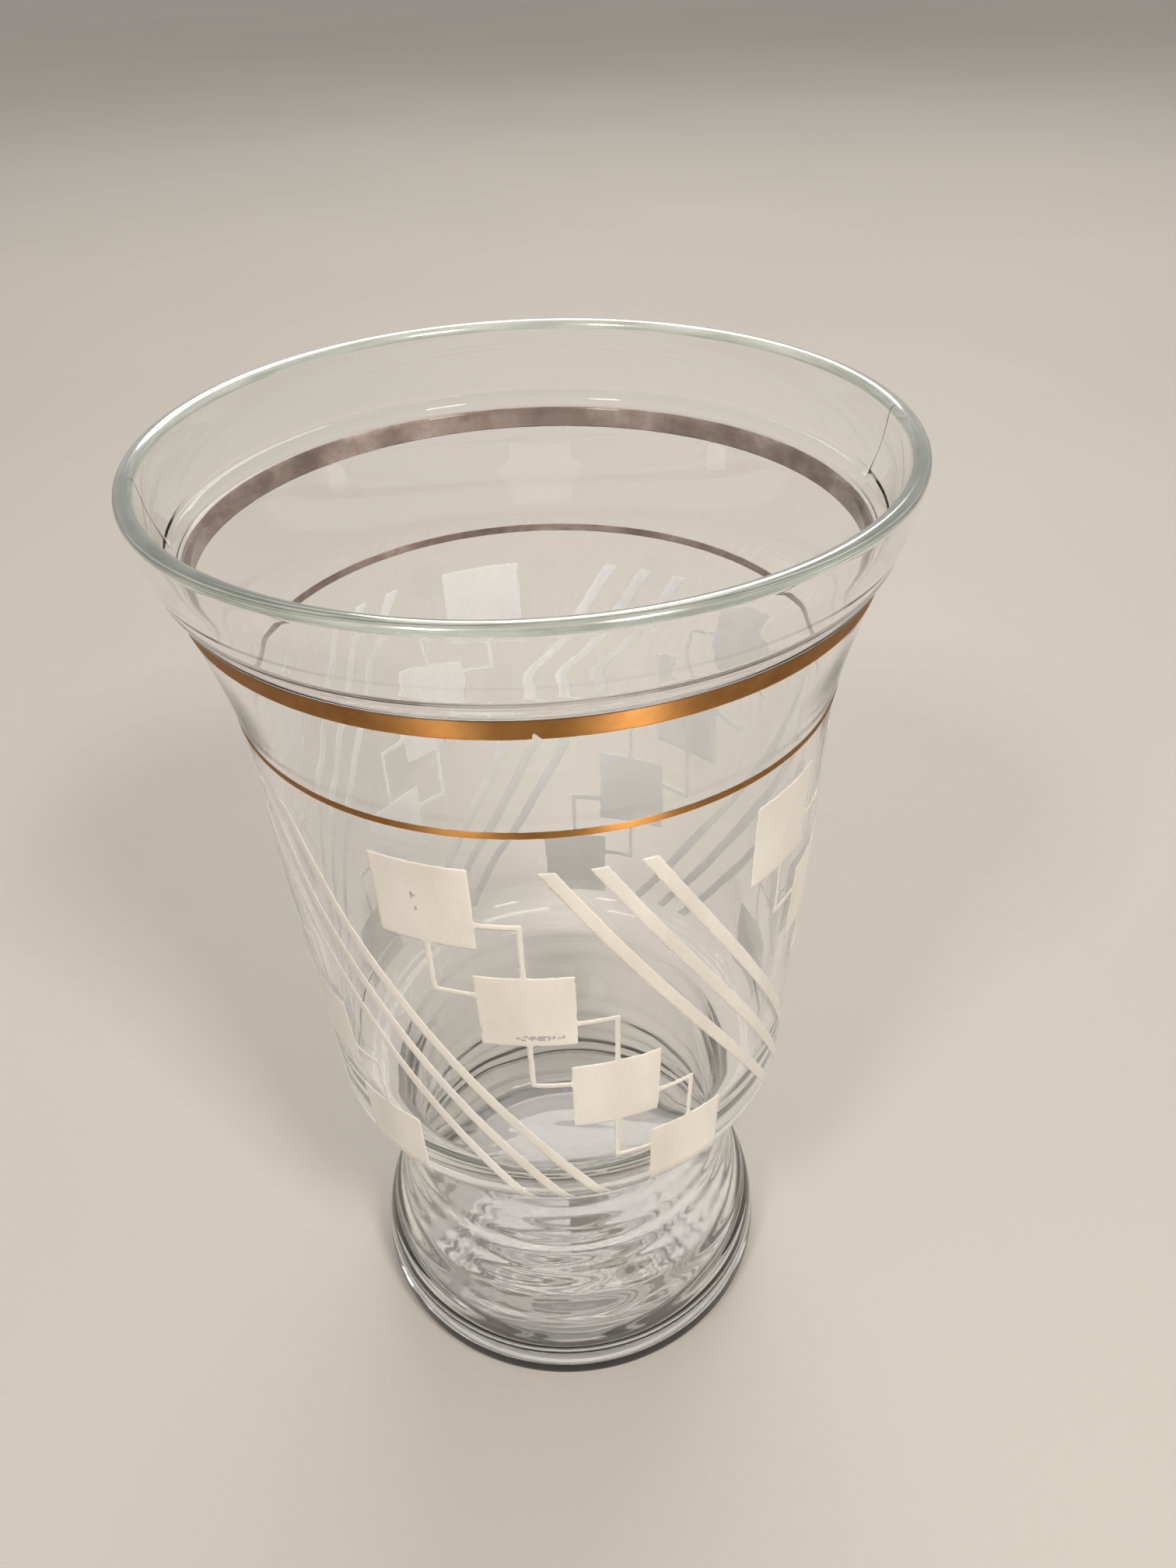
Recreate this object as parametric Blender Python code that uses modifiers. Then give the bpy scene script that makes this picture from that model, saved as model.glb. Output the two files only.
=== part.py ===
"""A footed, flared drinking glass of about a pint, with two gilt rings and a white enamel pattern.

Metres, +Z up. The origin is the centre of the ring that the foot rests on, and -Y is the front.

The glass is one moulded piece: a rounded lip, a flared collar that ends in the ring where the mould
parted, a bowl with a rounded bottom corner, a waist, and a spread, hollow foot. Its inside, the
well, goes on through the waist and fills the foot. The decoration is fired on outside, and each
printed shape is a solid of its own: two gilt rings, and a pattern that repeats five times round the
bowl, of a staircase of four squares joined by thin lines, and three slanting bars.
"""

import bisect
import math

import bmesh
import bpy

OBJECT_NAME = "footed_pint_glass"
MM = 0.001

# Driving sizes of the glass, in millimetres.
HEIGHT = 171.0
RIM_RADIUS = 54.0  # outside, at the widest point of the lip
LIP_RADIUS = 1.3  # of the lip's round section
WALL = 2.4
SIDES = 48  # flat sides of each turned shape

# Outlines as (height, radius), in millimetres. smooth_radius() draws a curve through each.
COLLAR = [(159.8, 51.3), (164.3, 53.2), (169.7, 54.0)]
BOWL = [(62.0, 40.3), (72.5, 40.9), (99.5, 42.7), (113.0, 43.6), (126.5, 43.9), (137.3, 44.7),
        (145.4, 46.5), (153.5, 48.9), (158.9, 50.2)]
FOOT = [(4.0, 38.0), (6.1, 38.0), (10.5, 37.2), (15.9, 35.4), (21.3, 33.4), (26.7, 31.9),
        (32.0, 31.3), (40.0, 31.0), (47.0, 31.2), (51.5, 32.4)]
WELL = [(8.0, 34.6), (12.0, 34.2), (16.0, 32.9), (21.0, 30.9), (26.0, 29.3), (32.0, 28.6),
        (40.0, 28.3), (47.0, 28.6), (52.0, 30.4), (57.0, 34.8), (62.0, 37.5), (70.0, 38.4)]

# Round stretches, as the centre's (radius, height) and the radius of the round.
CORNER_CENTRE = (32.3, 61.5)
CORNER_RADIUS = 8.0
FOOT_EDGE_CENTRE = (34.9, 3.1)
FOOT_EDGE_RADIUS = 3.1
WELL_FLOOR = 3.8
WELL_CORNER_CENTRE = (31.6, 6.8)
WELL_CORNER_RADIUS = 3.0
REST_INNER_RADIUS = 31.5  # where the flat resting ring ends and the underside begins to rise
KICK_HEIGHT = 1.2  # how far the underside rises at its middle

# The decoration: angles in degrees from the front, heights and thicknesses in millimetres.
FRONT = -90.0
REPEATS = 5
SKIN_GAP = 0.2
SKIN_THICKNESS = 0.3

BANDS = {"gilt_band_wide": (153.8, 156.9), "gilt_band_narrow": (136.3, 137.5)}

SQUARES = 4
SQUARE_ANGLE = 18.6
SQUARE_HEIGHT = 14.3
SQUARE_TURN = 17.1  # from one square to the next, round the glass
SQUARE_DROP = 19.4  # and down it
FIRST_SQUARE_ANGLE = -20.9
FIRST_SQUARE_TOP = 130.6
LINE_ANGLE = 1.1  # the width of an upright line
LINE_HEIGHT = 1.0  # the width of a level line
LEAVING_DROP = 9.9  # from a square's top to the line that leaves its right side
ENTERING_DROP = 4.0  # from a square's top to the line that enters its left side

BARS = 3
BAR_ANGLE = 3.1  # the width of a bar, measured level
BAR_SPACING = 8.8
FIRST_BAR_ANGLE = 1.5
BAR_TOP = 130.3
BAR_BOTTOM = 57.7
BAR_SLOPE = 0.789  # degrees round the glass for each millimetre down, at a bar's top
BAR_CURVE = 0.00121  # how much steeper that gets for each millimetre
BAR_ROWS = 8
CORNER_ROWS = 4

# How many points each stretch of the glass's profile has.
WELL_CORNER_POINTS = 4
WELL_POINTS = 15
INSIDE_POINTS = 9
LIP_POINTS = 7
COLLAR_POINTS = 3
OUTSIDE_POINTS = 12
CORNER_POINTS = 4
FOOT_POINTS = 8
FOOT_EDGE_POINTS = 4
KICK_POINTS = 4
JOIN = 2.0  # left free for the curve between two stretches


def clear_scene():
    for scene_object in list(bpy.data.objects):
        bpy.data.objects.remove(scene_object)


def make_collection(name):
    collection = bpy.data.collections.new(name)
    bpy.context.scene.collection.children.link(collection)
    return collection


def make_material(name, colour, metallic=0.0, roughness=0.5, transmission=0.0):
    material = bpy.data.materials.new(name)
    material.use_nodes = True
    shader = material.node_tree.nodes["Principled BSDF"]
    shader.inputs["Base Color"].default_value = (*colour, 1.0)
    shader.inputs["Metallic"].default_value = metallic
    shader.inputs["Roughness"].default_value = roughness
    shader.inputs["Transmission Weight"].default_value = transmission
    return material


def spread(start, end, count):
    """Evenly spaced values from start to end, with both."""
    return [start + (end - start) * index / (count - 1) for index in range(count)]


def smooth_radius(outline):
    """The radius at any height: a curve through an outline's points that never swings past them."""
    heights = [height for height, _ in outline]
    radii = [radius for _, radius in outline]
    spans = list(zip(outline, outline[1:]))
    slopes = [(above[1] - below[1]) / (above[0] - below[0]) for below, above in spans]
    tangents = [slopes[0]]
    for before, after in zip(slopes, slopes[1:]):
        tangents.append(2 * before * after / (before + after) if before * after > 0 else 0.0)
    tangents.append(slopes[-1])

    def radius_at(height):
        i = min(max(bisect.bisect(heights, height) - 1, 0), len(slopes) - 1)
        span = heights[i + 1] - heights[i]
        t = (height - heights[i]) / span
        straight = radii[i] + (radii[i + 1] - radii[i]) * t * t * (3 - 2 * t)
        return straight + span * t * (1 - t) * (tangents[i] * (1 - t) - tangents[i + 1] * t)

    return radius_at


collar_radius = smooth_radius(COLLAR)
bowl_radius = smooth_radius(BOWL)
foot_radius = smooth_radius(FOOT)
well_radius = smooth_radius(WELL)


def outer_radius(height):
    """The outside of the bowl, with the start of its bottom corner."""
    if height >= BOWL[0][0]:
        return bowl_radius(height)
    return CORNER_CENTRE[0] + math.sqrt(CORNER_RADIUS**2 - (height - CORNER_CENTRE[1]) ** 2)


def arc(centre, radius, start, end, count):
    """Points on a round stretch of a profile, as (radius, height), with angles in degrees."""
    turns = [math.radians(angle) for angle in spread(start, end, count)]
    return [(centre[0] + radius * math.cos(turn), centre[1] + radius * math.sin(turn)) for turn in turns]


def along(radius_at, start, end, count, inset=0.0):
    """Points on a curved stretch of a profile, as (radius, height), from one height to another."""
    return [(radius_at(height) - inset, height) for height in spread(start, end, count)]


def glass_profile():
    """From the middle of the well's floor, up the inside, over the lip, and down the outside."""
    lip_centre = (RIM_RADIUS - LIP_RADIUS, HEIGHT - LIP_RADIUS)
    collar_foot, collar_top = COLLAR[0][0], COLLAR[-1][0] - JOIN
    bowl_foot, bowl_top = BOWL[0][0], BOWL[-1][0]
    well_foot, well_top = WELL[0][0], WELL[-1][0]
    inside_foot = well_top + 5 * JOIN
    points = [(0.0, WELL_FLOOR)]
    points += arc(WELL_CORNER_CENTRE, WELL_CORNER_RADIUS, -90, -30, WELL_CORNER_POINTS)
    points += along(well_radius, well_foot, well_top, WELL_POINTS)
    points += along(bowl_radius, inside_foot, bowl_top, INSIDE_POINTS, inset=WALL)
    points += along(collar_radius, collar_foot + JOIN, collar_top, 2, inset=WALL)
    points += arc(lip_centre, LIP_RADIUS, 180, 0, LIP_POINTS)
    points += along(collar_radius, collar_top, collar_foot, COLLAR_POINTS)
    points += along(bowl_radius, bowl_top, bowl_foot, OUTSIDE_POINTS)
    points += arc(CORNER_CENTRE, CORNER_RADIUS, -12, -70, CORNER_POINTS)
    points += along(foot_radius, FOOT[-1][0], FOOT[0][0], FOOT_POINTS)
    points += arc(FOOT_EDGE_CENTRE, FOOT_EDGE_RADIUS, -15, -90, FOOT_EDGE_POINTS)
    for radius in spread(REST_INNER_RADIUS, 0, KICK_POINTS):
        points.append((radius, KICK_HEIGHT * (1 - (radius / REST_INNER_RADIUS) ** 2)))
    return points


def add_object(name, mesh, material, collection):
    piece = bpy.data.objects.new(name, mesh)
    piece.data.materials.append(material)
    collection.objects.link(piece)
    return piece


def turned(name, profile, material, collection, closed=False):
    """Turns a profile of (radius, height) points, in millimetres, round the Z axis."""
    vertices = [(radius * MM, 0.0, height * MM) for radius, height in profile]
    edges = [(i, i + 1) for i in range(len(vertices) - 1)]
    if closed:
        edges.append((len(vertices) - 1, 0))
    mesh = bpy.data.meshes.new(name)
    mesh.from_pydata(vertices, edges, [])
    piece = add_object(name, mesh, material, collection)
    screw = piece.modifiers.new("Turn", "SCREW")
    screw.steps = SIDES
    screw.render_steps = SIDES
    screw.use_merge_vertices = True
    screw.merge_threshold = 0.00001
    screw.use_smooth_shade = True
    return piece


def band_profile(low, high):
    """The section of a ring that lies on the wall, clockwise from its top outer edge."""
    inside = SKIN_GAP
    outside = SKIN_GAP + SKIN_THICKNESS
    return [
        (outer_radius(high) + outside, high),
        (outer_radius(low) + outside, low),
        (outer_radius(low) + inside, low),
        (outer_radius(high) + inside, high),
    ]


def on_wall(angle, height):
    """The point where a printed shape's underside lies, for an angle from the front and a height."""
    turn = math.radians(FRONT + angle)
    radius = outer_radius(height) + SKIN_GAP
    return (radius * math.cos(turn) * MM, radius * math.sin(turn) * MM, height * MM)


def printed(name, quads, material, collection):
    """A thin solid on the wall, from quads of (angle, height), anticlockwise seen from outside."""
    shape = bmesh.new()
    corners = {}
    for quad in quads:
        for corner in quad:
            if corner not in corners:
                corners[corner] = shape.verts.new(on_wall(*corner))
        shape.faces.new([corners[corner] for corner in quad])
    mesh = bpy.data.meshes.new(name)
    shape.to_mesh(mesh)
    shape.free()
    piece = add_object(name, mesh, material, collection)
    solidify = piece.modifiers.new("Thickness", "SOLIDIFY")
    solidify.thickness = SKIN_THICKNESS * MM
    solidify.offset = 1.0
    return piece


def staircase_patches(turn):
    """The squares and lines of one staircase, as (left, right, bottom, top)."""
    patches = []
    for step in range(SQUARES):
        middle = turn + FIRST_SQUARE_ANGLE + step * SQUARE_TURN
        top = FIRST_SQUARE_TOP - step * SQUARE_DROP
        left, right = middle - SQUARE_ANGLE / 2, middle + SQUARE_ANGLE / 2
        patches.append((left, right, top - SQUARE_HEIGHT, top))
        if step == SQUARES - 1:
            break
        next_middle = middle + SQUARE_TURN
        next_left = next_middle - SQUARE_ANGLE / 2
        next_top = top - SQUARE_DROP
        across = top - LEAVING_DROP
        under = next_top - ENTERING_DROP
        half_angle, half_height = LINE_ANGLE / 2, LINE_HEIGHT / 2
        far_side = next_middle + half_angle
        near_side = middle - half_angle
        patches.append((right, far_side, across - half_height, across + half_height))
        patches.append((far_side - LINE_ANGLE, far_side, next_top, across + half_height))
        patches.append((near_side, near_side + LINE_ANGLE, under - half_height, top - SQUARE_HEIGHT))
        patches.append((near_side, next_left, under - half_height, under + half_height))
    return [tuple(round(value, 4) for value in patch) for patch in patches]


def staircase_quads(turn):
    """One grid over the whole staircase, so that squares and lines share their corners."""
    patches = staircase_patches(turn)
    angles = sorted({angle for patch in patches for angle in patch[:2]})
    lowest = patches[-1][2]
    bends = spread(lowest, BOWL[0][0], CORNER_ROWS)
    levels = sorted({level for patch in patches for level in patch[2:]} | set(bends))
    quads = []
    for left, right in zip(angles, angles[1:]):
        for bottom, top in zip(levels, levels[1:]):
            angle, level = (left + right) / 2, (bottom + top) / 2
            if any(a < angle < b and c < level < d for a, b, c, d in patches):
                quads.append(((left, bottom), (right, bottom), (right, top), (left, top)))
    return quads


def bar_quads(turn):
    """A slanting bar, cut level at its ends."""
    levels = spread(BAR_TOP, BOWL[0][0], BAR_ROWS) + spread(BOWL[0][0], BAR_BOTTOM, CORNER_ROWS)[1:]
    rows = []
    for level in levels:
        drop = BAR_TOP - level
        middle = turn + BAR_SLOPE * drop + BAR_CURVE * drop**2
        rows.append(((middle - BAR_ANGLE / 2, level), (middle + BAR_ANGLE / 2, level)))
    return [(below[0], below[1], above[1], above[0]) for above, below in zip(rows, rows[1:])]


def build():
    clear_scene()
    collection = make_collection(OBJECT_NAME)
    glass = make_material("clear_glass", (0.90, 0.95, 0.93), roughness=0.02, transmission=1.0)
    gilt = make_material("gilt", (0.72, 0.42, 0.15), metallic=1.0, roughness=0.3)
    enamel = make_material("white_enamel", (0.78, 0.73, 0.66), roughness=0.5)

    turned("glass_body", glass_profile(), glass, collection)
    for name, (low, high) in BANDS.items():
        turned(name, band_profile(low, high), gilt, collection, closed=True)
    for repeat in range(REPEATS):
        turn = repeat * 360.0 / REPEATS
        printed(f"staircase_{repeat + 1}", staircase_quads(turn), enamel, collection)
        for bar in range(BARS):
            start = turn + FIRST_BAR_ANGLE + bar * BAR_SPACING
            printed(f"bar_{repeat + 1}_{bar + 1}", bar_quads(start), enamel, collection)


build()
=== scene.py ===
"""The looks of the footed pint glass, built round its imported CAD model.

The glass's lengths are in millimetres until a mesh is made, and its angles are in degrees round it
from the front, towards +X. The outlines and the pattern's sizes are the CAD model's. Lamps, camera
and the sizes in materials are in metres.
"""

import math

import bpy
import numpy as np
from mathutils import Matrix, Vector, noise


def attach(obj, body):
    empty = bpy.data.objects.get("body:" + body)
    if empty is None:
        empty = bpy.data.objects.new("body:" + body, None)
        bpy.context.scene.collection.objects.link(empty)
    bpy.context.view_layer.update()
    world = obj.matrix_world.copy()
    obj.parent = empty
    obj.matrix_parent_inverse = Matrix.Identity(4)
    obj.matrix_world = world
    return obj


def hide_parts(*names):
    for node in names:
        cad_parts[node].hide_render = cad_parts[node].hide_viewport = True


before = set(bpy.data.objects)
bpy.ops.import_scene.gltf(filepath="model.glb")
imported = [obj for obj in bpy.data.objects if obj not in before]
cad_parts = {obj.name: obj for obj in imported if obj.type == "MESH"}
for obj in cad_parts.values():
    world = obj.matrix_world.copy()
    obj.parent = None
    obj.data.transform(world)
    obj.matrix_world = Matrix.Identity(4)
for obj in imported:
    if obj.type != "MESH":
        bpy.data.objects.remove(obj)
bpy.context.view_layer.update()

MM = 0.001
FRONT = -90.0

# ---------------------------------------------------------------- the outlines, as (height, radius)
COLLAR = [(159.8, 51.3), (164.3, 53.2), (169.7, 54.0)]
BOWL = [(62.0, 40.3), (72.5, 40.9), (99.5, 42.7), (113.0, 43.6), (126.5, 43.9), (137.3, 44.7),
        (145.4, 46.5), (153.5, 48.9), (158.9, 50.2)]
FOOT = [(4.0, 38.0), (6.1, 38.0), (10.5, 37.2), (15.9, 35.4), (21.3, 33.4), (26.7, 31.9),
        (32.0, 31.3), (40.0, 31.0), (47.0, 31.2), (51.5, 32.4)]
INSIDE = [(8.0, 34.6), (12.0, 34.2), (16.0, 32.9), (21.0, 30.9), (26.0, 29.3), (32.0, 28.6),
          (40.0, 28.3), (47.0, 28.6), (52.0, 30.4), (57.0, 34.8), (62.0, 37.5), (70.0, 38.4),
          (75.0, 38.7)]
INSIDE_COLLAR = [(159.8, 48.7), (164.3, 50.6), (169.7, 51.4)]
WALL = 2.4
EVEN_WALL_TOP = 156.0  # above this height the inside leaves the bowl's line for the collar's
RIM_RADIUS = 54.0
HEIGHT = 171.0
LIP_RADIUS = 1.3
CORNER_CENTRE = (32.3, 61.5)
CORNER_RADIUS = 8.0
FOOT_EDGE_CENTRE = (34.9, 3.1)
FOOT_EDGE_RADIUS = 3.1
WELL_FLOOR = 3.8
WELL_CORNER_CENTRE = (31.6, 6.8)
WELL_CORNER_RADIUS = 3.0
REST_INNER_RADIUS = 31.5
KICK_HEIGHT = 1.2

STEP = 0.25  # between two heights of an outline's table
BOWL_BLUR = 3.5
FOOT_BLUR = 2.0
COLLAR_BLUR = 1.6
INSIDE_FOOT_BLUR = 2.6


def smooth_outline(outline, blur):
    """(heights, radii) in fine steps: the outline's straight pieces, with a bell curve's rounding."""
    heights = np.arange(outline[0][0], outline[-1][0] + STEP / 2, STEP)
    radii = np.interp(heights, [h for h, _ in outline], [r for _, r in outline])
    reach = int(3 * blur / STEP)
    weights = np.exp(-0.5 * (np.arange(-reach, reach + 1) * STEP / blur) ** 2)
    padded = np.pad(radii, reach, mode="reflect", reflect_type="odd")
    return heights, np.convolve(padded, weights / weights.sum(), mode="valid")


bowl_line = smooth_outline(BOWL, BOWL_BLUR)
foot_line = smooth_outline(FOOT, FOOT_BLUR)
collar_line = smooth_outline(COLLAR, COLLAR_BLUR)


def inside_outline():
    """The inside, which keeps an even wall above the bowl's bottom corner."""
    lower = list(zip(*smooth_outline(INSIDE, INSIDE_FOOT_BLUR)))
    even = [(height, radius - WALL) for height, radius in zip(*bowl_line)
            if INSIDE[-1][0] < height < EVEN_WALL_TOP]
    return smooth_outline(lower + even + INSIDE_COLLAR, COLLAR_BLUR)


inside_line = inside_outline()


def wall_radius(height):
    """The outside of the bowl, with the start of its bottom corner, for an array of heights."""
    height = np.asarray(height, float)
    drop = np.clip(height - CORNER_CENTRE[1], -CORNER_RADIUS, 0.0)
    corner = CORNER_CENTRE[0] + np.sqrt(CORNER_RADIUS**2 - drop**2)
    return np.where(height >= BOWL[0][0], np.interp(height, *bowl_line), corner)


def arc(centre, radius, start, end, count):
    turns = np.radians(np.linspace(start, end, count))
    return [(centre[0] + radius * math.cos(t), centre[1] + radius * math.sin(t)) for t in turns]


def along(line, start, end, count):
    heights = np.linspace(start, end, count)
    return list(zip(np.interp(heights, *line), heights))


# ---------------------------------------------------------------- the glass
SEGMENTS = 288
SEAMS = (99.0, -82.0)  # where the mould's halves met, between the lip and the parting ring
COLLAR_RADIUS = 52.0  # where a seam's width is measured
LIP_BOTTOM = 169.5  # where the fire-polished lip, with its painted pale light and highlight streaks, gives way to the clear wall
PARTING_HEIGHT = 159.4
PARTING_RIDGE = 0.10
LEDGE_TOP = 160.2  # the ledge under the collar runs down and in from here
LEDGE_DROP = 3.0
LEDGE_RADIUS = 51.45
LEDGE_INSET = 1.32
WAVE_LENGTHS = (5.3, 8.3)  # of the mould's level waves on the waist and foot
SEAM_STEPS = (-0.7, -0.4, -0.22, -0.1, 0.0, 0.1, 0.22, 0.4, 0.7)


def glass_sections():
    """The profile in named stretches of (radius, height), from the well's floor up and over."""
    lip_centre = (RIM_RADIUS - LIP_RADIUS, HEIGHT - LIP_RADIUS)
    well = [(radius, WELL_FLOOR) for radius in np.linspace(1.5, WELL_CORNER_CENTRE[0] - 1, 10)]
    well += arc(WELL_CORNER_CENTRE, WELL_CORNER_RADIUS, -90, -8, 18)
    inside = along(inside_line, INSIDE[0][0], INSIDE_COLLAR[-1][0], 190)
    lip = arc(lip_centre, LIP_RADIUS, 172, 0, 20)
    collar = along(collar_line, COLLAR[-1][0] - 0.3, LEDGE_TOP + 0.2, 18)
    ledge = [(LEDGE_RADIUS - LEDGE_INSET * t * t * (3 - 2 * t), LEDGE_TOP - LEDGE_DROP * t)
             for t in np.linspace(0, 1, 22)]
    bowl = along(bowl_line, LEDGE_TOP - LEDGE_DROP - 0.2, BOWL[0][0], 110)
    corner = arc(CORNER_CENTRE, CORNER_RADIUS, -2, -62, 22)
    neck = [(35.0, 53.6), (34.0, 52.85), (33.2, 52.1)]
    foot = along(foot_line, FOOT[-1][0] - 0.5, FOOT[0][0], 84)
    edge = arc(FOOT_EDGE_CENTRE, FOOT_EDGE_RADIUS, 5, -90, 16)
    under = [(radius, KICK_HEIGHT * (1 - (radius / REST_INNER_RADIUS) ** 2))
             for radius in np.linspace(REST_INNER_RADIUS, 1.5, 16)]
    return [("inside", well + inside), ("lip", lip), ("collar", collar + ledge), ("bowl", bowl),
            ("foot", corner + neck + foot + edge), ("under", under)]


def ripple(height):
    """The soft level waves that the mould left on the waist and the foot."""
    fade = np.clip((height - 6.0) / 6.0, 0, 1) * np.clip((53.0 - height) / 8.0, 0, 1)
    short, long = [2 * math.pi * height / length for length in WAVE_LENGTHS]
    waves = np.sin(short) + 0.8 * np.sin(long + 1.0)
    return float(np.interp(height, [28.0, 38.0], [0.10, 0.028])) * fade * waves


def waviness(angle, radius, height, size, seed):
    """Uneven thickness, from -1 to 1, with waves of about this size."""
    turn = math.radians(FRONT + angle)
    place = Vector((radius * math.cos(turn), radius * math.sin(turn), height * 0.7)) / size
    return noise.noise(place + Vector((seed, 0, 0)))


def seam_height(angle, height):
    """How far a mould seam stands out of the collar here."""
    raised = 0.0
    for seam in SEAMS:
        away = math.radians(angle - seam) * COLLAR_RADIUS
        if abs(away) < 3:
            raised += 0.045 * math.exp(-((away / 0.22) ** 2)) * min(max((height - 158.6) / 1.0, 0), 1)
            raised += 0.06 * math.exp(-((away / 0.45) ** 2) - ((height - 160.0) / 0.8) ** 2)
    return raised


def make_mesh(name, vertices, faces, materials, face_materials=None):
    mesh = bpy.data.meshes.new(name)
    mesh.from_pydata([tuple(v) for v in vertices], [], faces)
    mesh.shade_smooth()
    piece = bpy.data.objects.new(name, mesh)
    bpy.context.scene.collection.objects.link(piece)
    for material in materials:
        mesh.materials.append(material)
    if face_materials is not None:
        mesh.polygons.foreach_set("material_index", face_materials)
    return piece


def glass_mesh(name, wall_material, lip_painted_light_material):
    angles = set(np.round(np.linspace(-180, 180, SEGMENTS, endpoint=False), 3))
    for seam in SEAMS:
        angles |= {round(seam + step, 3) for step in SEAM_STEPS}
    angles = sorted(angles)
    rings, sections = [], []
    for section, points in glass_sections():
        rings += points
        sections += [section] * len(points)
    around = len(angles)
    vertices, faces = [], []
    for (radius, height), section in zip(rings, sections):
        for angle in angles:
            r = radius
            if section == "inside":
                r += 0.03 * waviness(angle, radius, height, 16.0, 3.0) * min(1, radius / 20)
                r += 0.012 * waviness(angle, radius, height, 6.0, 8.0) * min(1, radius / 20)
            elif section == "foot":
                r += ripple(height) * (1 + 0.25 * waviness(angle, radius, height, 14.0, 5.0))
            elif section == "collar":
                r += seam_height(angle, height)
                r += PARTING_RIDGE * math.exp(-(((height - PARTING_HEIGHT) / 0.3) ** 2))
            turn = math.radians(FRONT + angle)
            vertices.append((r * math.cos(turn) * MM, r * math.sin(turn) * MM, height * MM))
    kinds = []
    for i in range(len(rings) - 1):
        lowest = min(rings[i][1], rings[i + 1][1])
        kinds += [int(lowest > LIP_BOTTOM)] * around
        for j in range(around):
            k = (j + 1) % around
            faces.append((i * around + j, (i + 1) * around + j, (i + 1) * around + k, i * around + k))
    first, last = len(vertices), len(vertices) + 1
    vertices += [(0, 0, WELL_FLOOR * MM), (0, 0, KICK_HEIGHT * MM)]
    for j in range(around):
        k = (j + 1) % around
        faces.append((first, j, k))
        faces.append((last, (len(rings) - 1) * around + k, (len(rings) - 1) * around + j))
    kinds += [0] * (2 * around)
    return make_mesh(name, vertices, faces, [wall_material, lip_painted_light_material], kinds)


# ---------------------------------------------------------------- printed layers
NOMINAL_RADIUS = 44.0  # where a degree round the glass is turned into millimetres
PER_DEGREE = math.radians(1) * NOMINAL_RADIUS
CELL = 0.36  # one side of the grid that a layer is cut from
GAP = 0.02  # between the glass and a layer's underside
GILT_THICKNESS = 0.05
ENAMEL_THICKNESS = 0.07


def layer(name, field, angles, heights, thickness, rolled, materials, all_round=False, stain=None):
    """A thin layer on the wall wherever field(round, height), in millimetres, is below zero.

    Its top rises from a thin edge to its full thickness over the width `rolled`. Where
    stain(round, height) is true, the top has the third material.
    """
    start, end = angles[0] * PER_DEGREE, angles[1] * PER_DEGREE
    columns = int(round((end - start) / CELL))
    rows = int(math.ceil((heights[1] - heights[0]) / CELL))
    across = (end - start) / columns
    down = (heights[1] - heights[0]) / rows
    us = start + across * np.arange(columns + 1)
    vs = heights[0] + down * np.arange(rows + 1)
    u_grid, v_grid = np.meshgrid(us, vs, indexing="ij")
    depth = field(u_grid, v_grid)
    if all_round:
        depth[-1] = depth[0]
    within = depth < 0
    used = within[:-1, :-1] | within[1:, :-1] | within[:-1, 1:] | within[1:, 1:]
    found, flat, polygons = {}, [], []

    def corner_point(i, j):
        if all_round:
            i %= columns
        if (i, j) not in found:
            found[i, j] = len(flat)
            flat.append((us[i], vs[j], depth[i, j]))
        return found[i, j]

    def edge_point(a, b):
        a, b = sorted((a, b))
        key = (a[0] % columns if all_round else a[0], a[1], b[0] - a[0])
        if key not in found:
            share = depth[a] / (depth[a] - depth[b])
            share = min(max(share, 0.03), 0.97)
            found[key] = len(flat)
            flat.append((us[a[0]] + (us[b[0]] - us[a[0]]) * share,
                         vs[a[1]] + (vs[b[1]] - vs[a[1]]) * share, 0.0))
        return found[key]

    for i, j in zip(*np.nonzero(used)):
        ring = [(i, j), (i + 1, j), (i + 1, j + 1), (i, j + 1)]
        polygon = []
        for a, b in zip(ring, ring[1:] + ring[:1]):
            if within[a]:
                polygon.append(corner_point(*a))
            if within[a] != within[b]:
                polygon.append(edge_point(a, b))
        polygons.append(polygon)

    flat = np.array(flat)
    turn = np.radians(FRONT + flat[:, 0] / PER_DEGREE)
    radius = wall_radius(flat[:, 1])
    rise = np.clip(-flat[:, 2] / rolled, 0, 1)
    top = radius + GAP + thickness * (0.25 + 0.75 * np.sqrt(rise * (2 - rise)))
    bottom = radius + GAP
    sheets = [np.stack([r * np.cos(turn), r * np.sin(turn), flat[:, 1]], 1) for r in (top, bottom)]
    vertices = np.concatenate(sheets) * MM
    count = len(flat)
    faces = [tuple(p) for p in polygons] + [tuple(v + count for v in reversed(p)) for p in polygons]
    middles = [flat[polygon, :2].mean(axis=0) for polygon in polygons]
    # The underside faces take the second material; for the enamel that is the copy lightened as
    # painted light.
    kinds = [2 if stain and stain(*middle) else 0 for middle in middles] + [1] * len(polygons)
    sides = {}
    for polygon in polygons:
        for a, b in zip(polygon, polygon[1:] + polygon[:1]):
            sides[a, b] = True
    for a, b in sides:
        if (b, a) not in sides:
            faces.append((a, a + count, b + count, b))
            kinds.append(0)
    return make_mesh(name, vertices, faces, materials, kinds)


def ragged(u, v, fine, seed, bites=0.0):
    """An uneven print edge, in millimetres, with now and then a deeper bite."""
    rough = np.empty(u.shape)
    for index in np.ndindex(u.shape):
        place = Vector((u[index], v[index], seed))
        rough[index] = fine * noise.noise(place * 1.7) + 0.6 * fine * noise.noise(place * 4.1)
        if bites:
            rough[index] += bites * max(0.0, noise.noise(place * 0.55 + Vector((9, 5, 2))) - 0.42)
    return rough


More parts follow.
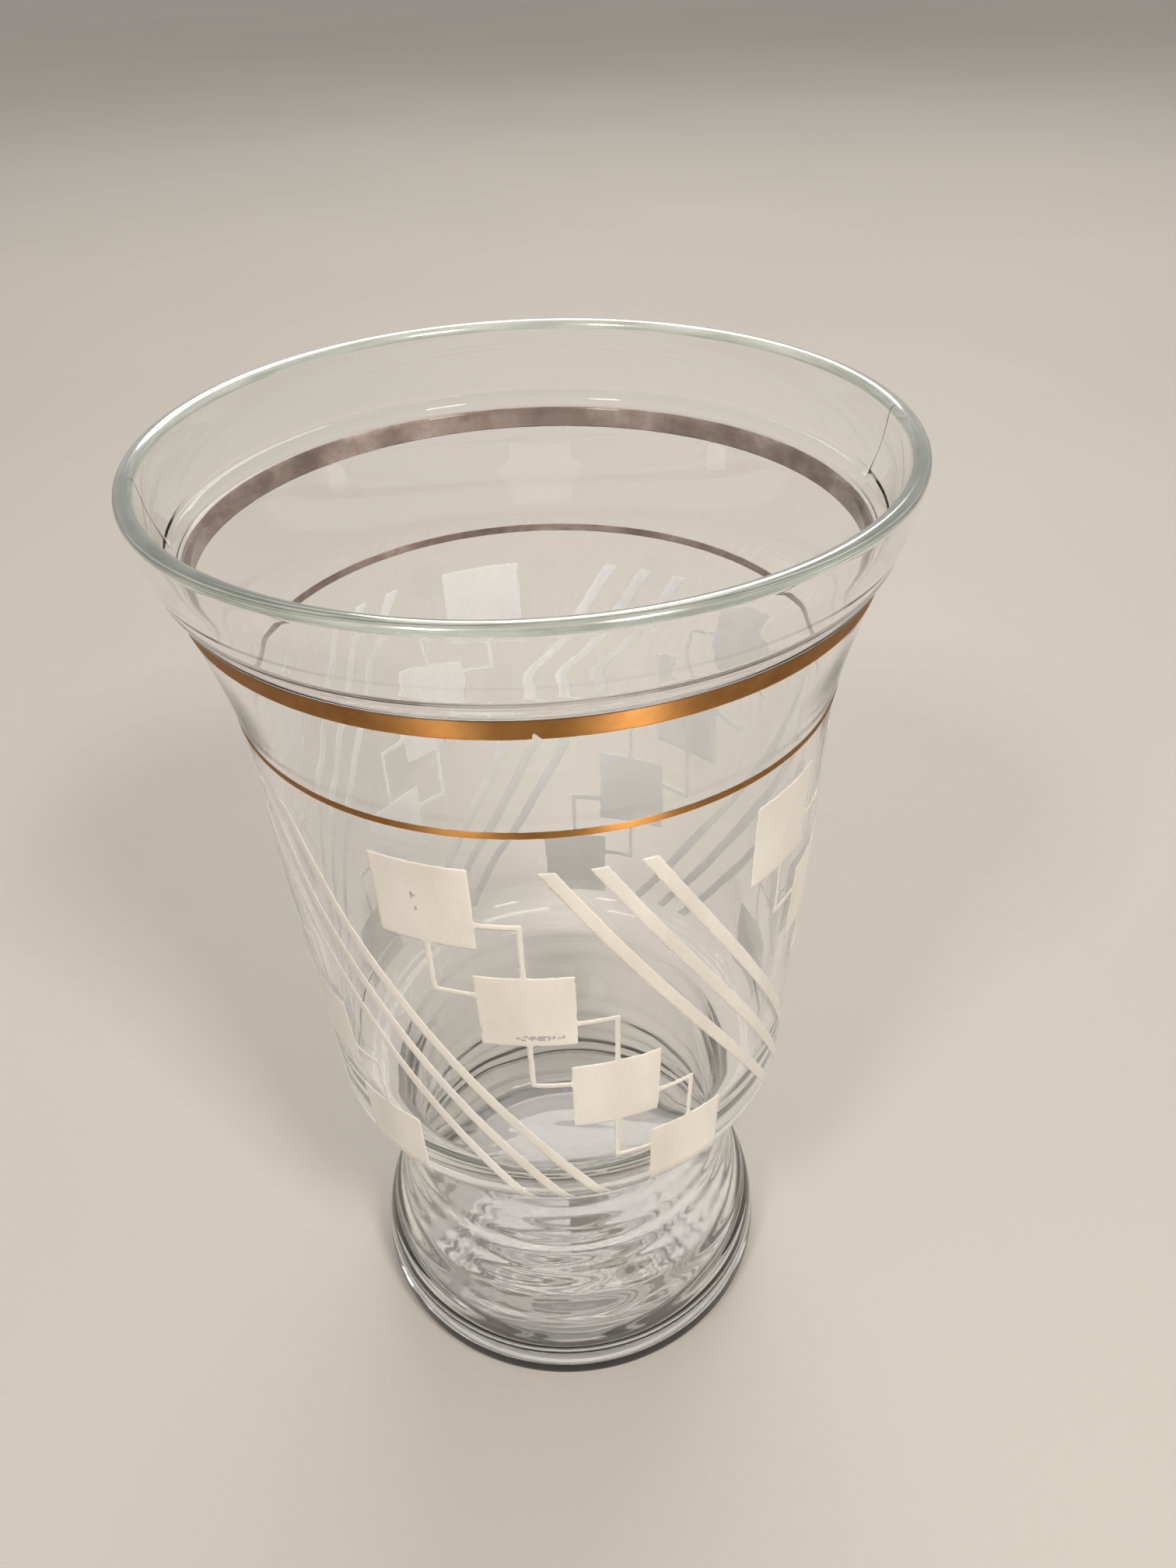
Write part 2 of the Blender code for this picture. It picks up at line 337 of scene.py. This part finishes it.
def box_field(u, v, left, right, bottom, top, rounding=0.25):
    """How far a point is outside a rectangle with rounded corners; negative inside."""
    across = np.abs(u - (left + right) / 2) - (right - left) / 2 + rounding
    up = np.abs(v - (bottom + top) / 2) - (top - bottom) / 2 + rounding
    outside = np.hypot(np.maximum(across, 0), np.maximum(up, 0))
    return outside + np.minimum(np.maximum(across, up), 0) - rounding


# ---------------------------------------------------------------- materials
def new_material(name):
    material = bpy.data.materials.new(name)
    material.use_nodes = True
    tree = material.node_tree
    return material, tree, tree.nodes["Principled BSDF"]


def add_node(tree, kind, values=(), **settings):
    node = tree.nodes.new(kind)
    for key, value in settings.items():
        setattr(node, key, value)
    for key, value in dict(values).items():
        node.inputs[key].default_value = value
    return node


def link(tree, source, target):
    tree.links.new(source, target)


def noise_node(tree, scale, detail=3.0, roughness=0.55, stretch=(1, 1, 1), offset=(0, 0, 0)):
    """A noise over the object, with scale in waves for each metre."""
    place = add_node(tree, "ShaderNodeTexCoord")
    mapping = add_node(tree, "ShaderNodeMapping", {"Scale": stretch, "Location": offset})
    texture = add_node(tree, "ShaderNodeTexNoise",
                       {"Scale": scale, "Detail": detail, "Roughness": roughness})
    link(tree, place.outputs["Object"], mapping.inputs["Vector"])
    link(tree, mapping.outputs["Vector"], texture.inputs["Vector"])
    return texture.outputs["Fac"]


def ramp(tree, source, stops):
    """A colour ramp with (place, colour) stops."""
    node = add_node(tree, "ShaderNodeValToRGB")
    link(tree, source, node.inputs["Fac"])
    elements = node.color_ramp.elements
    while len(elements) < len(stops):
        elements.new(0.5)
    for element, (place, colour) in zip(elements, stops):
        element.position = place
        element.color = (*colour, 1.0)
    return node.outputs["Color"]


def span(tree, source, low, high, from_low=0.3, from_high=0.7):
    node = add_node(tree, "ShaderNodeMapRange", {"From Min": from_low, "From Max": from_high,
                                                 "To Min": low, "To Max": high})
    link(tree, source, node.inputs["Value"])
    return node.outputs["Result"]


def bump(tree, shader, source, distance, strength=1.0):
    node = add_node(tree, "ShaderNodeBump", {"Strength": strength, "Distance": distance})
    link(tree, source, node.inputs["Height"])
    link(tree, node.outputs["Normal"], shader.inputs["Normal"])


def clear_glass():
    material, tree, shader = new_material("clear_glass")
    shader.inputs["Base Color"].default_value = (1.0, 1.0, 1.0, 1.0)
    shader.inputs["IOR"].default_value = 1.52
    shader.inputs["Transmission Weight"].default_value = 1.0
    smear = noise_node(tree, 70.0, detail=4.0, stretch=(1, 1, 0.5))
    link(tree, span(tree, smear, 0.0, 0.035, 0.45, 0.75), shader.inputs["Roughness"])
    output = next(n for n in tree.nodes if n.type == "OUTPUT_MATERIAL")
    tint = add_node(tree, "ShaderNodeVolumeAbsorption",
                    {"Color": (0.60, 0.86, 0.76, 1.0), "Density": 3.0})
    link(tree, tint.outputs["Volume"], output.inputs["Volume"])
    return material


def lip_painted_light_glass():
    """A stand-in for the look of the fire-polished lip: its pale green-grey is painted light for the
    light that the wall carries into the lip, and its streaks are painted highlights.
    """
    material, tree, shader = new_material("lip_painted_light_glass")
    # Pale streaks up and down the lip: painted highlights.
    painted_highlight_streaks = noise_node(tree, 180.0, detail=3.0, stretch=(0.4, 0.4, 6.0))
    link(tree, ramp(tree, painted_highlight_streaks, [(0.35, (0.30, 0.36, 0.32)), (0.65, (0.62, 0.70, 0.64))]),
         shader.inputs["Base Color"])
    shader.inputs["IOR"].default_value = 1.52
    shader.inputs["Transmission Weight"].default_value = 0.82
    shader.inputs["Roughness"].default_value = 0.16
    shader.inputs["Coat Weight"].default_value = 1.0
    shader.inputs["Coat Roughness"].default_value = 0.04
    return material


def gilt():
    material, tree, shader = new_material("gilt")
    shader.inputs["Metallic"].default_value = 1.0
    shader.inputs["Anisotropic"].default_value = 1.0
    shader.inputs["Anisotropic Rotation"].default_value = 0.25
    wear = noise_node(tree, 260.0, detail=5.0, roughness=0.6)
    # The base colour is darkened to a deep amber as a painted dark reflection of the surroundings;
    # the mottle over it is the gilt's own wear.
    colour = ramp(tree, wear, [(0.25, (0.32, 0.145, 0.045)), (0.45, (0.38, 0.18, 0.054)),
                               (0.75, (0.45, 0.225, 0.072))])
    link(tree, colour, shader.inputs["Base Color"])
    link(tree, span(tree, wear, 0.54, 0.50), shader.inputs["Roughness"])
    brushed = noise_node(tree, 300.0, detail=3.0, stretch=(1, 1, 14))
    bump(tree, shader, brushed, 0.00003, 0.6)
    return material


def gilt_underside():
    material, tree, shader = new_material("gilt_underside")
    clouds = noise_node(tree, 95.0, detail=5.0, roughness=0.62, stretch=(1, 1, 1.3))
    colour = ramp(tree, clouds, [(0.30, (0.13, 0.080, 0.060)), (0.44, (0.23, 0.155, 0.12)),
                                 (0.55, (0.36, 0.27, 0.225)), (0.68, (0.56, 0.46, 0.42))])
    link(tree, colour, shader.inputs["Base Color"])
    shader.inputs["Metallic"].default_value = 0.35
    link(tree, span(tree, clouds, 0.35, 0.6), shader.inputs["Roughness"])
    return material


def enamel(name, light, dark, rough):
    material, tree, shader = new_material(name)
    grain = noise_node(tree, 2600.0, detail=2.0)
    tone = noise_node(tree, 120.0, detail=4.0, stretch=(1, 1, 0.35))
    mixed = add_node(tree, "ShaderNodeMath", operation="MULTIPLY_ADD")
    link(tree, grain, mixed.inputs[0])
    mixed.inputs[1].default_value = 0.35
    link(tree, tone, mixed.inputs[2])
    link(tree, ramp(tree, mixed.outputs["Value"], [(0.5, dark), (0.85, light)]),
         shader.inputs["Base Color"])
    shader.inputs["Roughness"].default_value = rough
    shader.inputs["Subsurface Weight"].default_value = 1.0
    shader.inputs["Subsurface Radius"].default_value = (1.0, 1.0, 1.0)
    shader.inputs["Subsurface Scale"].default_value = 0.00008
    bump(tree, shader, grain, 0.00004, 0.5)
    return material


glass_material = clear_glass()
gilt_materials = [gilt(), gilt_underside()]
worn_enamel = enamel("worn_enamel", (0.40, 0.37, 0.38), (0.26, 0.235, 0.245), 0.5)
# The outer face's enamel is darkened to grey-beige as painted shade, and the underside seen through
# the glass is lightened to near white as painted light; they are a shaded and a lit copy of one white
# enamel.
shaded_and_lit_enamel_materials = [enamel("white_enamel", (0.60, 0.57, 0.52), (0.52, 0.49, 0.44), 0.42),
                    enamel("white_enamel_underside_painted_light", (0.93, 0.93, 0.92), (0.88, 0.88, 0.87), 0.5)]


def place(piece, node, slot):
    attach(piece, "root")
    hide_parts(node)


place(glass_mesh("moulded_glass", glass_material, lip_painted_light_glass()), "glass_body", "clear_glass")

# ---------------------------------------------------------------- the gilt rings
BANDS = {"gilt_band_wide": (153.8, 156.9), "gilt_band_narrow": (136.3, 137.5)}
NICK_ANGLE = 1.3
NICK_HEIGHT = 1.5
NICK_HALF_WIDTH = 0.42
NICK_LEAN = 0.35
NICK_PIVOT = 0.7  # the height over the ring's lower edge at which the nick is at its angle


def band_field(low, high, seed, nicked):
    def field(u, v):
        away = np.abs(v - (low + high) / 2) - (high - low) / 2
        if nicked:
            height = v - low
            middle = NICK_ANGLE * PER_DEGREE - NICK_LEAN * (height - NICK_PIVOT)
            half_width = NICK_HALF_WIDTH * np.clip(1 - height / NICK_HEIGHT, 0, 1)
            away = np.maximum(away, half_width - np.abs(u - middle))
        return away + ragged(u, v, 0.045, seed)
    return field


for seed, (name, (low, high)) in enumerate(BANDS.items()):
    ring = layer(name.replace("gilt_band", "gilt_ring"), band_field(low, high, seed, seed == 0),
                 (-180, 180), (low - 0.5, high + 0.5), GILT_THICKNESS, 0.4, gilt_materials,
                 all_round=True)
    place(ring, name, "gilt")

# ---------------------------------------------------------------- the enamel pattern
REPEATS = 5
SQUARES = 4
SQUARE_ANGLE = 18.6
SQUARE_HEIGHT = 14.3
SQUARE_TURN = 17.1
SQUARE_DROP = 19.4
FIRST_SQUARE_ANGLE = -20.9
FIRST_SQUARE_TOP = 130.6
LINE_ANGLE = 1.1
LINE_HEIGHT = 1.0
LEAVING_DROP = 9.9
ENTERING_DROP = 4.0
BARS = 3
BAR_ANGLE = 3.1
BAR_SPACING = 8.8
FIRST_BAR_ANGLE = 1.5
BAR_TOP = 130.3
BAR_BOTTOM = 57.7
BAR_SLOPE = 0.789
BAR_CURVE = 0.00121
STREAK_MIDDLE = (-1.2, 98.7)
STREAK_REACH = (3.1, 0.42)
SPECKS = [(-17.2, 124.6, 0.40), (-17.0, 122.2, 0.28)]


def staircase_patches(turn):
    """The squares and lines of one staircase, as (left, right, bottom, top)."""
    patches = []
    for step in range(SQUARES):
        middle = turn + FIRST_SQUARE_ANGLE + step * SQUARE_TURN
        top = FIRST_SQUARE_TOP - step * SQUARE_DROP
        right = middle + SQUARE_ANGLE / 2
        patches.append((middle - SQUARE_ANGLE / 2, right, top - SQUARE_HEIGHT, top))
        if step == SQUARES - 1:
            break
        next_middle = middle + SQUARE_TURN
        next_left = next_middle - SQUARE_ANGLE / 2
        next_top = top - SQUARE_DROP
        across = top - LEAVING_DROP
        under = next_top - ENTERING_DROP
        half_angle, half_height = LINE_ANGLE / 2, LINE_HEIGHT / 2
        far_side = next_middle + half_angle
        near_side = middle - half_angle
        patches.append((right - 1, far_side, across - half_height, across + half_height))
        patches.append((far_side - LINE_ANGLE, far_side, next_top - 1, across + half_height))
        patches.append((near_side, near_side + LINE_ANGLE, under - half_height,
                        top - SQUARE_HEIGHT + 1))
        patches.append((near_side, next_left + 1, under - half_height, under + half_height))
    return patches


def staircase_field(patches, seed):
    def field(u, v):
        away = np.full(u.shape, 9.0)
        for left, right, bottom, top in patches:
            away = np.minimum(away, box_field(u, v, left * PER_DEGREE, right * PER_DEGREE,
                                              bottom, top))
        near = np.abs(away) < 1.5
        rough = np.zeros(u.shape)
        rough[near] = ragged(u[near], v[near], 0.09, seed, bites=0.9)
        return away + rough
    return field


def is_worn(u, v):
    """The dulled streak at the foot of the front's second square, and two specks on its first."""
    across = (u - STREAK_MIDDLE[0]) / STREAK_REACH[0]
    up = (v - STREAK_MIDDLE[1]) / STREAK_REACH[1]
    streak = across**2 + up**2 + 2.0 * noise.noise(Vector((u, v, 3.0)) * 2.2)
    return streak < 1.0 or any(math.hypot(u - left, v - height) < radius
                               for left, height, radius in SPECKS)


def bar_field(turn, seed):
    def field(u, v):
        drop = BAR_TOP - v
        middle = turn + BAR_SLOPE * drop + BAR_CURVE * drop**2
        lean = (BAR_SLOPE + 2 * BAR_CURVE * drop) * PER_DEGREE
        sideways = np.abs(u - middle * PER_DEGREE) - BAR_ANGLE * PER_DEGREE / 2
        away = np.maximum(sideways / np.sqrt(1 + lean**2),
                          np.abs(v - (BAR_TOP + BAR_BOTTOM) / 2) - (BAR_TOP - BAR_BOTTOM) / 2)
        near = np.abs(away) < 1.5
        rough = np.zeros(u.shape)
        rough[near] = ragged(u[near], v[near], 0.07, seed, bites=0.5)
        return away + rough
    return field


for repeat in range(REPEATS):
    turn = repeat * 360.0 / REPEATS
    patches = staircase_patches(turn)
    stairs = layer(f"printed_staircase_{repeat + 1}", staircase_field(patches, 11.0 + repeat),
                   (patches[0][0] - 1, patches[-1][1] + 1), (patches[-1][2] - 1, patches[0][3] + 1),
                   ENAMEL_THICKNESS, 0.35, shaded_and_lit_enamel_materials + [worn_enamel],
                   stain=is_worn if repeat == 0 else None)
    place(stairs, f"staircase_{repeat + 1}", "white_enamel")
    for bar in range(BARS):
        begin = turn + FIRST_BAR_ANGLE + bar * BAR_SPACING
        reach = BAR_SLOPE * (BAR_TOP - BAR_BOTTOM) + BAR_CURVE * (BAR_TOP - BAR_BOTTOM) ** 2
        stripe = layer(f"printed_bar_{repeat + 1}_{bar + 1}",
                       bar_field(begin, 31.0 + 3 * repeat + bar), (begin - 3, begin + reach + 3),
                       (BAR_BOTTOM - 1, BAR_TOP + 1), ENAMEL_THICKNESS, 0.35, shaded_and_lit_enamel_materials)
        place(stripe, f"bar_{repeat + 1}_{bar + 1}", "white_enamel")


# ---------------------------------------------------------------- floor, light and camera
def make_floor():
    material, tree, shader = new_material("pale_floor")
    mottle = noise_node(tree, 3.0, detail=2.0)
    link(tree, ramp(tree, mottle, [(0.3, (0.285, 0.268, 0.243)), (0.7, (0.305, 0.285, 0.260))]),
         shader.inputs["Base Color"])
    shader.inputs["Roughness"].default_value = 0.6
    mesh = bpy.data.meshes.new("floor")
    far = 6.0
    mesh.from_pydata([(-far, -far, 0), (far, -far, 0), (far, far, 0), (-far, far, 0)], [],
                     [(0, 1, 2, 3)])
    mesh.materials.append(material)
    floor = bpy.data.objects.new("floor", mesh)
    bpy.context.scene.collection.objects.link(floor)


def make_lamp(name, azimuth, elevation, distance, size, power, colour):
    """A square lamp aimed at the glass, in metres. Azimuth is from the front, towards +X."""
    lamp = bpy.data.lights.new(name, "AREA")
    lamp.size = size
    lamp.energy = power
    lamp.color = colour
    turn, rise = math.radians(FRONT + azimuth), math.radians(elevation)
    out = Vector((math.cos(turn) * math.cos(rise), math.sin(turn) * math.cos(rise), math.sin(rise)))
    holder = bpy.data.objects.new(name, lamp)
    holder.location = Vector((0, 0, 0.1)) + out * distance
    holder.rotation_mode = "QUATERNION"
    holder.rotation_quaternion = out.to_track_quat("Z", "Y")
    bpy.context.scene.collection.objects.link(holder)


CAMERA_PLACE = (0.0069, -0.16737, 0.2333)  # in metres
CAMERA_PITCH = 35.965
CAMERA_ROLL = -2.194


def make_camera():
    """A phone's view from above the front of the rim."""
    pitch, roll = math.radians(CAMERA_PITCH), math.radians(CAMERA_ROLL)
    camera = bpy.data.cameras.new("camera")
    camera.sensor_fit = "VERTICAL"
    camera.sensor_height = 36.0
    camera.sensor_width = 36.0
    camera.lens = 29.2
    camera.clip_start = 0.01
    holder = bpy.data.objects.new("camera", camera)
    ahead = Vector((0, math.cos(pitch), -math.sin(pitch)))
    right = Vector((1, 0, 0))
    up = right.cross(ahead)
    leaned_right = right * math.cos(roll) + up * math.sin(roll)
    leaned_up = up * math.cos(roll) - right * math.sin(roll)
    matrix = Matrix((leaned_right, leaned_up, -ahead)).transposed().to_4x4()
    matrix.translation = Vector(CAMERA_PLACE)
    holder.matrix_world = matrix
    bpy.context.scene.collection.objects.link(holder)
    bpy.context.scene.camera = holder


def make_world():
    world = bpy.data.worlds.new("room")
    world.use_nodes = True
    tree = world.node_tree
    background = tree.nodes["Background"]
    background.inputs["Strength"].default_value = 1.1
    place = add_node(tree, "ShaderNodeTexCoord")
    split = add_node(tree, "ShaderNodeSeparateXYZ")
    link(tree, place.outputs["Generated"], split.inputs["Vector"])
    shades = [(0.0, (0.56, 0.535, 0.505)), (0.5, (0.60, 0.575, 0.545)), (0.95, (0.84, 0.815, 0.78))]
    link(tree, ramp(tree, split.outputs["Z"], shades), background.inputs["Color"])
    bpy.context.scene.world = world


make_floor()
make_world()
make_lamp("key", azimuth=34, elevation=46, distance=1.2, size=0.22, power=13.0,
          colour=(1.0, 0.94, 0.86))
make_lamp("second", azimuth=-32, elevation=46, distance=1.2, size=0.18, power=7.0,
          colour=(1.0, 0.95, 0.90))
make_lamp("behind", azimuth=172, elevation=48, distance=1.5, size=1.0, power=16.0,
          colour=(1.0, 0.96, 0.91))
make_camera()
bpy.context.scene.view_settings.view_transform = "Standard"
bpy.context.scene.cycles.max_bounces = 32
bpy.context.scene.cycles.transmission_bounces = 32
bpy.context.scene.cycles.glossy_bounces = 16
